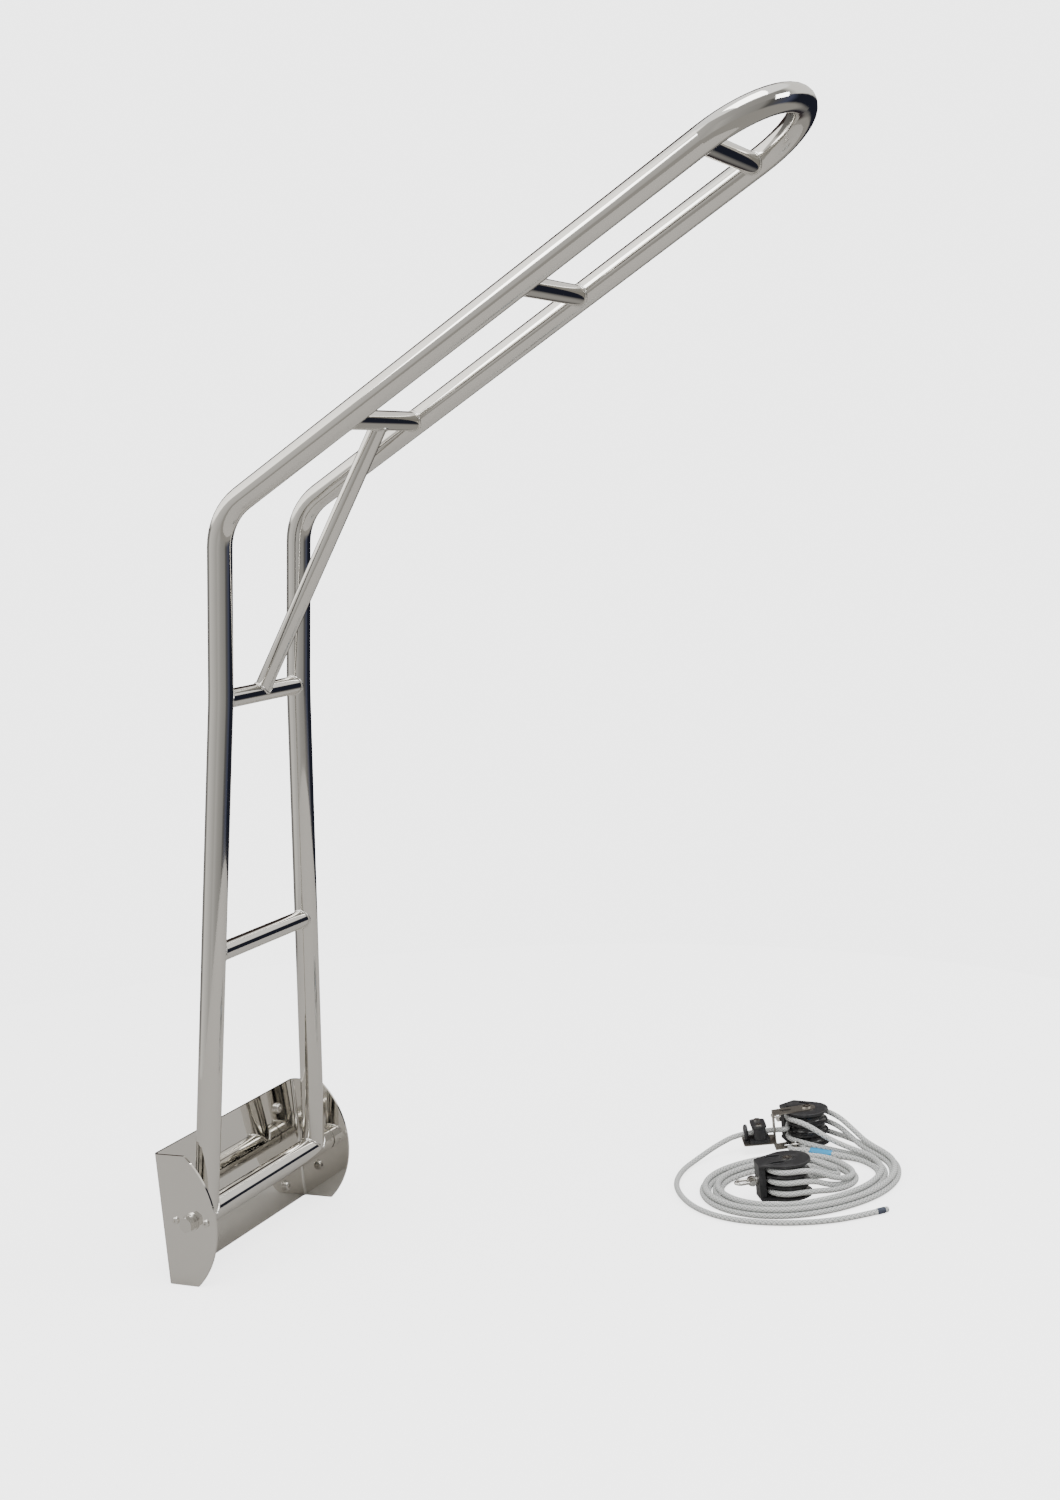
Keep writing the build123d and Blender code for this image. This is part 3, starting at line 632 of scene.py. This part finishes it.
# Where each part of the fall leaves the hank's middle line: offset outwards and height.
PARTS = {
    "fall_1": (13.8, 4.3), "fall_2": (4.6, 4.3), "fall_3": (9.2, 11.4),
    "fall_4": (-4.6, 4.3), "fall_5": (-13.8, 4.3), "fall_6": (-9.2, 11.4),
}


# Plan points between the upper block and the hank, and between the hank and the lower block.
OUTER_APPROACH, INNER_APPROACH = [(106, 118), (119, 92)], [(64, 93), (92, 74)]
OUTER_AWAY, INNER_AWAY = [(84, -10), (70, -42), (44, -62)], [(60, -2), (42, -13)]


def deck_point(x, y, z):
    """From the tackle's frame in millimetres to the row's frame in metres."""
    c, s = cos(TACKLE_TURN), sin(TACKLE_TURN)
    return (TACKLE_ORIGIN[0] + (c * x - s * y) * MM, TACKLE_ORIGIN[1] + (s * x + c * y) * MM,
            TACKLE_ORIGIN[2] + z * MM)


def block_point(block, turn, x, y):
    """From a block's own plan to the tackle's frame."""
    return (block[0] + cos(turn) * x - sin(turn) * y, block[1] + sin(turn) * x + cos(turn) * y)


def nurbs_points(name, points):
    """Points along a NURBS spline that has the route's points as its control points."""
    curve = bpy.data.curves.new(name, "CURVE")
    curve.dimensions = "3D"
    spline = curve.splines.new("NURBS")
    spline.points.add(len(points) - 1)
    for target, point in zip(spline.points, points):
        target.co = (*point, 1.0)
    spline.order_u = 3
    spline.use_endpoint_u = True
    spline.resolution_u = 24
    holder = bpy.data.objects.new(name, curve)
    line = bpy.data.meshes.new_from_object(holder)
    found = np.zeros(len(line.vertices) * 3)
    line.vertices.foreach_get("co", found)
    bpy.data.objects.remove(holder)
    bpy.data.meshes.remove(line)
    bpy.data.curves.remove(curve)
    return found.reshape(-1, 3)


def offset_line(points, offset):
    """Each point of a plan line moved sideways by offset, to the left of the way it runs."""
    line = np.array(points, dtype=float)
    way = np.gradient(line, axis=0)
    way /= np.linalg.norm(way, axis=1)[:, None]
    return line + offset * np.stack([-way[:, 1], way[:, 0]], axis=1)


def fall_route(part, level_up, level_down):
    """Route of one part of the fall: out of the upper block, round the hank, into the lower one."""
    offset, height = PARTS[part]
    outer = offset > 0
    side = 1 if outer else -1
    start = block_point(UPPER_BLOCK, UPPER_TURN, 0, side * WRAP_R)
    second = block_point(UPPER_BLOCK, UPPER_TURN, 30, side * WRAP_R)
    approach = OUTER_APPROACH if outer else INNER_APPROACH
    trunk = offset_line(HANK, offset)[1:]
    if not outer:
        trunk[0] = trunk[0] + np.array([-7.0, 8.0])
    finish = block_point(LOWER_BLOCK, LOWER_TURN, 0, -side * WRAP_R)
    before = block_point(LOWER_BLOCK, LOWER_TURN, 26, -side * WRAP_R)
    away = OUTER_AWAY if outer else INNER_AWAY
    shift = (offset - 9.2 * side) * 0.8
    lead_in = [(x + shift, y + shift * 0.5) for x, y in approach]
    lead_out = [(x + shift, y - shift * 0.4) for x, y in away]
    plan = [start, second, *lead_in, *[tuple(p) for p in trunk], *lead_out, before, finish]
    rise = [level_up, level_up, height + 0.45 * (level_up - height), height + 0.12 * (level_up - height)]
    fall = [height + f * (level_down - height) for f in ([0.0, 0.1, 0.45] if outer else [0.1, 0.45])]
    levels = rise + [height] * len(trunk) + fall + [level_down, level_down]
    return [deck_point(x, y, z) for (x, y), z in zip(plan, levels)]


def becket_route():
    """Route of the standing part: an eye round the becket pin, then along the inside of the hank."""
    offset, height = PARTS["fall_5"]
    x, y = BECKET
    eye = [(5, 15), (8, 5), (8.5, -5), (0, -10), (-8.5, -5), (-8, 5), (-2, 16), (0, 27)]
    out = np.array([0.64, -0.77])
    left = np.array([0.77, 0.64])
    start = [tuple(np.array([x, y]) + a * left + b * out) for a, b in eye]
    trunk = offset_line(HANK, offset)[2:]
    finish = block_point(LOWER_BLOCK, LOWER_TURN, 0, WRAP_R)
    before = block_point(LOWER_BLOCK, LOWER_TURN, 26, WRAP_R)
    plan = [*start, (56, 84), (86, 66), (108, 44), *[tuple(p) for p in trunk], (54, 2), (38, -8),
            before, finish]
    level = LOWER_LEVELS[0]
    levels = ([7.9] * len(start) + [7.0, 5.6, 4.6] + [height] * len(trunk)
              + [height + 1, height + 4, level, level])
    return [deck_point(a, b, z) for (a, b), z in zip(plan, levels)]


# Route of the free tail, out of the cam cleat and round the hank.
TAIL = [(-8, 142, 28.9), (-56, 142, 28.9), (-92, 134, 17), (-126, 110, 6), (-150, 76, 4.3),
        (-164, 26, 4.3), (-160, -28, 4.3), (-142, -80, 4.3), (-106, -124, 4.3), (-56, -150, 4.3),
        (0, -162, 4.3), (56, -158, 4.3), (106, -138, 4.3)]


# Thickening of the standing part at its eye splice: distance along it in metres, and factor.
SPLICE = [(0.0, 0.8), (0.058, 1.0), (0.066, 1.35), (0.115, 1.32), (0.150, 1.0), (9.0, 1.0)]
SLEEVE = (0.072, 0.106)
WHIPPING = (0.006, 0.018)


def stretch_of(line, start, end):
    """Part of a line between two distances along it."""
    path, along = resample(line, 0.0005)
    return path[(along >= start) & (along <= end)]


def add_sleeve(line, radius):
    """Plain sleeve shrunk over the splice: a slightly oval tube whose ends roll in, with two faint
    waves along it where the strands lie beneath."""
    path = stretch_of(line, *SLEEVE)
    _, side, up = path_frames(path)
    turn = np.linspace(0, 2 * pi, 48, endpoint=False)
    t = np.linspace(0, 1, len(path))
    body = radius * 1.35 + 0.0006 - 0.0009 * np.exp(-np.minimum(t, 1 - t) / 0.02)
    wave = 1 + 0.012 * np.sin(2 * turn[None, :] + 9 * t[:, None])
    ring = body[:, None] * wave
    grid = (path[:, None, :] + ring[..., None] * (np.cos(turn)[None, :, None] * 1.05 * side[:, None, :]
                                                  + np.sin(turn)[None, :, None] * up[:, None, :]))
    mesh = grid_mesh("splice_sleeve", grid, close_v=True, caps=True)
    material = moulded_plastic("SleeveBlue", tuple(settings()[2].sleeve), 0.38, coat=0.2, dust=0.02)
    add_piece("splice_sleeve", mesh, material, "bracket")


def add_whipping(line, radius):
    """Whipping twine at the tail's end: a tube over the rope whose radius ripples once per turn."""
    path, along = resample(line, 0.00012)
    keep = (along >= along[-1] - WHIPPING[1]) & (along <= along[-1] - WHIPPING[0])
    path, run = path[keep], along[keep] - along[keep][0]
    _, side, up = path_frames(path)
    turn = np.linspace(0, 2 * pi, 32, endpoint=False)
    ends = np.minimum(run, run[-1] - run)
    coil = 0.00022 * np.abs(np.sin(pi * (run[:, None] / 0.0009 + turn[None, :] / (2 * pi))))
    ring = radius + 0.0001 + coil - 0.0006 * np.exp(-ends / 0.0003)[:, None]
    grid = (path[:, None, :] + ring[..., None] * (np.cos(turn)[None, :, None] * side[:, None, :]
                                                  + np.sin(turn)[None, :, None] * up[:, None, :]))
    mesh = grid_mesh("tail_whipping", grid, close_v=True, caps=True)
    material = moulded_plastic("WhippingTwine", (0.05, 0.06, 0.09), 0.6, dust=0.04)
    add_piece("tail_whipping", mesh, material, "bracket")


def rim_mesh(name, plan, outward, level, radius):
    """Moulded rim: a small circle carried along a closed plan curve at one height, turned so that
    it stands square to the curve."""
    around = np.linspace(0, 2 * pi, BEAD_SIDES, endpoint=False)
    x = plan[0][:, None] + radius * np.cos(around) * outward[0][:, None]
    y = plan[1][:, None] + radius * np.cos(around) * outward[1][:, None]
    z = level + radius * np.sin(around) * np.ones_like(x)
    return grid_mesh(name, np.stack(deck_point(x, y, z), axis=-1), close_u=True, close_v=True)


def lathe(name, profile, origin, turns=64):
    """Surface of revolution about +Z: each profile point (radius, height) becomes a circle."""
    turn = np.linspace(0, 2 * pi, turns, endpoint=False)
    profile = np.array(profile) * MM
    grid = np.stack([profile[:, :1] * np.cos(turn), profile[:, :1] * np.sin(turn),
                     profile[:, 1:] * np.ones_like(turn)], axis=-1) + np.array(origin)
    return grid_mesh(name, grid[::-1], close_v=True, caps=True)


class DAVIT_OT_cheek_rims(bpy.types.Operator):
    """Raise the moulded rims round the windows and the axle of both top cheeks"""

    bl_idname = "davit.cheek_rims"
    bl_label = "Cheek rims"

    def execute(self, context):
        material = bpy.data.materials["BlockShell"]
        turn = np.linspace(0, 2 * pi, CURVE_SIDES, endpoint=False)
        rims = {"far_window": (-18, 13, 11.9, 5.1, 0.8), "near_window": (-18, -13, 11.9, 5.1, 0.8),
                "boss": (0, 0, 10.8, 10.8, 0.9)}
        for word, block, spin, level, kinds in (
                ("upper", UPPER_BLOCK, UPPER_TURN, UPPER_TOP, ("far_window",)),
                ("lower", LOWER_BLOCK, LOWER_TURN, LOWER_TOP, tuple(rims))):
            for kind in kinds:
                x, y, wide, high, radius = rims[kind]
                plan = block_point(block, spin, x + wide * np.cos(turn), y + high * np.sin(turn))
                way = np.roll(plan, -1, axis=1) - np.roll(plan, 1, axis=1)
                way /= np.linalg.norm(way, axis=0)
                name = f"{word}_rim_{kind}"
                mesh = rim_mesh(name, np.array(plan), np.array([way[1], -way[0]]), level, radius)
                add_piece(name, mesh, material, "bracket")
        return {"FINISHED"}


class DAVIT_OT_becket_pin(bpy.types.Operator):
    """Shouldered pin that holds the rope's eye on the becket"""

    bl_idname = "davit.becket_pin"
    bl_label = "Becket pin"

    def execute(self, context):
        shank, head = 3.15, 6.2
        profile = [(0.01, 0.4), (4.6, 0.4), (5.0, 0.8), (5.0, 1.6), (4.6, 2.0), (shank, 2.0),
                   (shank, 13.2), (head - 0.4, 13.2), (head, 13.6), (head, 14.6), (head - 0.9, 15.6),
                   (head - 2.4, 16.2), (2.2, 16.4), (2.0, 15.2), (0.01, 15.2)]
        mesh = lathe("becket_pin", profile, deck_point(*BECKET, 0.0))
        add_piece("becket_pin", mesh, bpy.data.materials["BrightFastener"], "bracket")
        return {"FINISHED"}


class DAVIT_OT_rope(bpy.types.Operator):
    """Lay the six parts of the fall and the free tail"""

    bl_idname = "davit.rope"
    bl_label = "Lay the rope"

    def execute(self, context):
        rope = settings()[1]
        material = braid_material("Braid", tuple(rope.colour), tuple(rope.fleck), rope.pitch,
                                  rope.carriers)
        low, mid, top = UPPER_LEVELS
        low2, mid2, top2 = LOWER_LEVELS
        routes = {
            "fall_1": fall_route("fall_1", low, low2),
            "fall_2": fall_route("fall_2", mid, mid2),
            "fall_3": fall_route("fall_3", top, top2),
            "fall_4": fall_route("fall_4", low, mid2),
            "fall_5": becket_route(),
            "fall_6": fall_route("fall_6", top, top2),
        }
        for name, route in routes.items():
            line = nurbs_points(name, route)
            swell = SPLICE if name == "fall_5" else None
            mesh, length = braided_tube(name, line, rope.diameter, rope.pitch, rope.carriers,
                                        swell=swell)
            if name == "fall_5":
                splice_line = line
            piece = add_piece(name, mesh, material, "bracket")
        add_sleeve(splice_line, rope.diameter / 2)
        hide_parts("rope_hank")
        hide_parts("rope_upper_lead")
        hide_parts("rope_lower_lead")
        route = [deck_point(*p) for p in TAIL]
        line = nurbs_points("rope_tail_lay", route)
        mesh, length = braided_tube("rope_tail_lay", line, rope.diameter, rope.pitch, rope.carriers,
                                    seal=0.003)
        tail = add_piece("rope_tail_lay", mesh, material, "bracket")
        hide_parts("rope_tail")
        add_whipping(line, rope.diameter / 2)
        return {"FINISHED"}


class DAVIT_OT_wraps(bpy.types.Operator):
    """Lead the rope round the sheaves inside both blocks"""

    bl_idname = "davit.wraps"
    bl_label = "Rope round the sheaves"

    def execute(self, context):
        rope = settings()[1]
        material = bpy.data.materials["Braid"]
        half = np.linspace(-pi / 2, -3 * pi / 2, 90)
        for word, block, spin, levels in (("upper", UPPER_BLOCK, UPPER_TURN, UPPER_LEVELS),
                                          ("lower", LOWER_BLOCK, LOWER_TURN, LOWER_LEVELS)):
            for number, level in enumerate(levels, 1):
                to_cam = word == "upper" and number == 2
                turn = np.linspace(pi / 2, pi / 2 + radians(122), 60) if to_cam else half
                x, y = block_point(block, spin, WRAP_R * np.cos(turn), WRAP_R * np.sin(turn))
                points = [deck_point(a, b, level) for a, b in zip(x, y)]
                if to_cam:
                    bight = [(x[-1], y[-1]), (14.6, 152), (12, 141), (2, 140.5), (-6, 142), (-14, 142)]
                    route = [deck_point(a, b, level) for a, b in bight]
                    points += nurbs_points("bight", route)[2:].tolist()
                name = f"{word}_wrap_{number}"
                mesh, _ = braided_tube(name, np.array(points), rope.diameter * 0.985, rope.pitch,
                                       rope.carriers)
                add_piece(name, mesh, material, "bracket")
        return {"FINISHED"}


class DAVIT_OT_stage(bpy.types.Operator):
    """Floor, studio lights and camera"""

    bl_idname = "davit.stage"
    bl_label = "Stage"

    def execute(self, context):
        stage = settings()[3]
        make_floor(stage)
        make_world()
        make_lights()
        make_camera(stage)
        return {"FINISHED"}


SEEN_PAPER = (0.95, 0.95, 0.95, 1)
FLOOR_GAP = 0.0005


def make_floor(stage):
    """Round floor: rings of radius that grow from the middle, each a circle of points."""
    rings = np.linspace(0.001, stage.floor_radius, 12)
    turn = np.linspace(0, 2 * pi, CURVE_SIDES, endpoint=False)
    radius, angle = np.meshgrid(rings, turn, indexing="ij")
    floor_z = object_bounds()[0][2] - FLOOR_GAP
    level = np.full_like(radius, floor_z)
    grid = np.stack([radius * np.cos(angle), radius * np.sin(angle), level], axis=-1)
    mesh = grid_mesh("floor", grid, close_v=True)
    floor = bpy.data.objects.new("floor", mesh)
    bpy.context.scene.collection.objects.link(floor)
    material, tree, shader, where = new_material("FloorPaper")
    mottle = node(tree, "ShaderNodeTexNoise",
                  {"Vector": where.outputs["Object"], "Scale": 3.0, "Detail": 3.0})
    colour = tuple(stage.floor_colour)
    tone = node(tree, "ShaderNodeMix", {0: mottle.outputs[0], 6: (*colour, 1),
                                        7: (*[c * 0.985 for c in colour], 1)}, data_type="RGBA")
    rays = tree.nodes.new("ShaderNodeLightPath")
    paper = node(tree, "ShaderNodeMix", {0: rays.outputs["Is Camera Ray"], 6: tone.outputs[2],
                                         7: SEEN_PAPER}, data_type="RGBA")
    tree.links.new(paper.outputs[2], shader.inputs["Base Color"])
    shader.inputs["Roughness"].default_value = 0.85
    shader.inputs["Specular IOR Level"].default_value = 0.1
    tree.links.new(maths(tree, "MULTIPLY", rays.outputs["Is Camera Ray"], stage.floor_glow),
                   shader.inputs["Emission Strength"])
    shader.inputs["Emission Color"].default_value = (1, 1, 1, 1)
    mesh.materials.append(material)
    floor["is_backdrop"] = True


# What the steel mirrors, by azimuth (degrees from +X towards +Y): near eye level, then higher up.
LEVEL_BAND = [(-180, 0.48), (-165, 0.55), (-143, 0.40), (-104, 0.30), (-92, 0.11), (-62, 0.09),
              (-50, 0.02), (0, 0.02), (30, 0.05), (40, 0.13), (75, 0.20), (98, 0.28), (108, 0.85),
              (150, 0.66), (180, 0.48)]
HIGH_BAND = [(-180, 0.50), (-150, 0.42), (-70, 0.30), (-52, 1.1), (8, 1.1), (16, 0.035), (62, 0.03),
             (70, 2.0), (140, 2.4), (152, 0.55), (180, 0.50)]


GROUND_BEIGE = (0.36, 0.345, 0.32, 1)
SOFTBOX = (1.5, 1.5, 1.48, 1)
DIFFUSE_SKY = (0.95, 0.95, 0.95, 1)
SEEN_WHITE = (3.7, 3.7, 3.7, 1)


def band_colour(tree, turn, band):
    """Colour ramp over azimuth: dark stops lean blue on the -Y side and brown on the +Y side."""
    ramp = tree.nodes.new("ShaderNodeValToRGB")
    tree.links.new(turn, ramp.inputs[0])
    for k, (degrees, value) in enumerate(band):
        place = (degrees + 180) / 360
        stop = ramp.color_ramp.elements[k] if k < 2 else ramp.color_ramp.elements.new(place)
        stop.position = place
        if value > 0.1:
            stop.color = (value, value * 0.975, value * 0.93, 1)
        elif degrees < 4:
            stop.color = (value * 0.8, value * 0.9, value * 1.5, 1)
        else:
            stop.color = (value * 1.25, value * 0.9, value * 0.8, 1)
    return ramp.outputs[0]


def make_world():
    """Dark studio with pale walls and one large softbox overhead; the eye sees plain white."""
    world = bpy.data.worlds.new("Studio")
    bpy.context.scene.world = world
    world.use_nodes = True
    tree = world.node_tree
    background = tree.nodes["Background"]
    where = tree.nodes.new("ShaderNodeTexCoord")
    split = node(tree, "ShaderNodeSeparateXYZ", {0: where.outputs["Generated"]})
    height = split.outputs[2]
    azimuth = maths(tree, "ARCTAN2", split.outputs[1], split.outputs[0])
    turn = node(tree, "ShaderNodeMapRange", {0: azimuth, 1: -pi, 2: pi, 3: 0.0, 4: 1.0}).outputs[0]

    def blend(low, high, start, end):
        share = node(tree, "ShaderNodeMapRange", {0: height, 1: start, 2: end, 3: 0.0, 4: 1.0})
        return node(tree, "ShaderNodeMix", {0: share.outputs[0], 6: low, 7: high},
                    data_type="RGBA").outputs[2]

    sky = blend(GROUND_BEIGE, band_colour(tree, turn, LEVEL_BAND), -0.42, -0.30)
    sky = blend(sky, band_colour(tree, turn, HIGH_BAND), 0.20, 0.27)
    sky = blend(sky, SOFTBOX, 0.72, 0.78)
    rays = tree.nodes.new("ShaderNodeLightPath")
    soft = node(tree, "ShaderNodeMix", {0: rays.outputs["Is Diffuse Ray"], 6: sky,
                                        7: DIFFUSE_SKY}, data_type="RGBA")
    seen = node(tree, "ShaderNodeMix", {0: rays.outputs["Is Camera Ray"], 6: soft.outputs[2],
                                        7: SEEN_WHITE}, data_type="RGBA")
    tree.links.new(seen.outputs[2], background.inputs["Color"])
    background.inputs["Strength"].default_value = 1.0


def make_lights():
    """Large soft panels: one over the top, one each side."""
    panels = [("overhead", (-0.6, -1.4, 3.6), (0, -0.4, 0.3), 1.8, 60),
              ("left", (-3.2, 1.2, 2.4), (0, -0.4, 0.6), 1.2, 30),
              ("right", (0.6, -4.0, 2.2), (0.3, -0.6, 0.2), 1.2, 40)]
    for name, place, aim, size, power in panels:
        light = bpy.data.lights.new(name, "AREA")
        light.size = size
        light.energy = power
        holder = bpy.data.objects.new(name, light)
        holder.location = place
        holder.rotation_mode = "QUATERNION"
        holder.rotation_quaternion = (Vector(aim) - Vector(place)).to_track_quat("-Z", "Y")
        bpy.context.scene.collection.objects.link(holder)


CAMERA_PLACE = (-1.984, -1.518, 0.837)
CAMERA_FORWARD = (0.88744, 0.44618, -0.11565)
CAMERA_UP = (0.14521, -0.03251, 0.98887)


def make_camera(stage):
    """Camera at two thirds of the davit's height on its near side, held with a slight tilt."""
    camera = bpy.data.cameras.new("camera")
    camera.sensor_fit = "AUTO"
    camera.sensor_width = 36.0
    camera.lens = stage.lens
    camera.clip_end = 200.0
    holder = bpy.data.objects.new("camera", camera)
    place = Vector(CAMERA_PLACE)
    forward = Vector(CAMERA_FORWARD).normalized()
    up = Vector(CAMERA_UP).normalized()
    right = forward.cross(up).normalized()
    up = right.cross(forward)
    turn = Matrix((right, up, -forward)).transposed().to_4x4()
    holder.matrix_world = Matrix.Translation(place) @ turn
    bpy.context.scene.collection.objects.link(holder)
    bpy.context.scene.camera = holder


class DAVIT_PT_panel(bpy.types.Panel):
    """Davit builder"""

    bl_idname = "DAVIT_PT_panel"
    bl_label = "Folding stern davit"
    bl_space_type = "VIEW_3D"
    bl_region_type = "UI"
    bl_category = "Davit"

    def draw(self, context):
        column = self.layout.column()
        for group in settings():
            for name in group.__annotations__:
                column.prop(group, name)
        for operator in OPERATORS:
            column.operator(operator.bl_idname)


OPERATORS = (DAVIT_OT_steel, DAVIT_OT_weld_beads, DAVIT_OT_plastics, DAVIT_OT_rope, DAVIT_OT_wraps,
             DAVIT_OT_becket_pin, DAVIT_OT_cheek_rims, DAVIT_OT_stage)
GROUP_CLASSES = (DavitSteelSettings, DavitRopeSettings, DavitTackleSettings, DavitStageSettings)
GROUP_NAMES = ("davit_steel", "davit_rope", "davit_tackle", "davit_stage")


def register():
    for made in (*GROUP_CLASSES, *OPERATORS, DAVIT_PT_panel):
        bpy.utils.register_class(made)
    for name, made in zip(GROUP_NAMES, GROUP_CLASSES):
        setattr(bpy.types.Scene, name, PointerProperty(type=made))


def unregister():
    for name in GROUP_NAMES:
        delattr(bpy.types.Scene, name)
    for made in reversed((*GROUP_CLASSES, *OPERATORS, DAVIT_PT_panel)):
        bpy.utils.unregister_class(made)


def main():
    register()
    bpy.ops.davit.steel()
    bpy.ops.davit.weld_beads()
    bpy.ops.davit.plastics()
    bpy.ops.davit.rope()
    bpy.ops.davit.wraps()
    bpy.ops.davit.becket_pin()
    bpy.ops.davit.cheek_rims()
    bpy.ops.davit.stage()


if __name__ == "__main__":
    main()
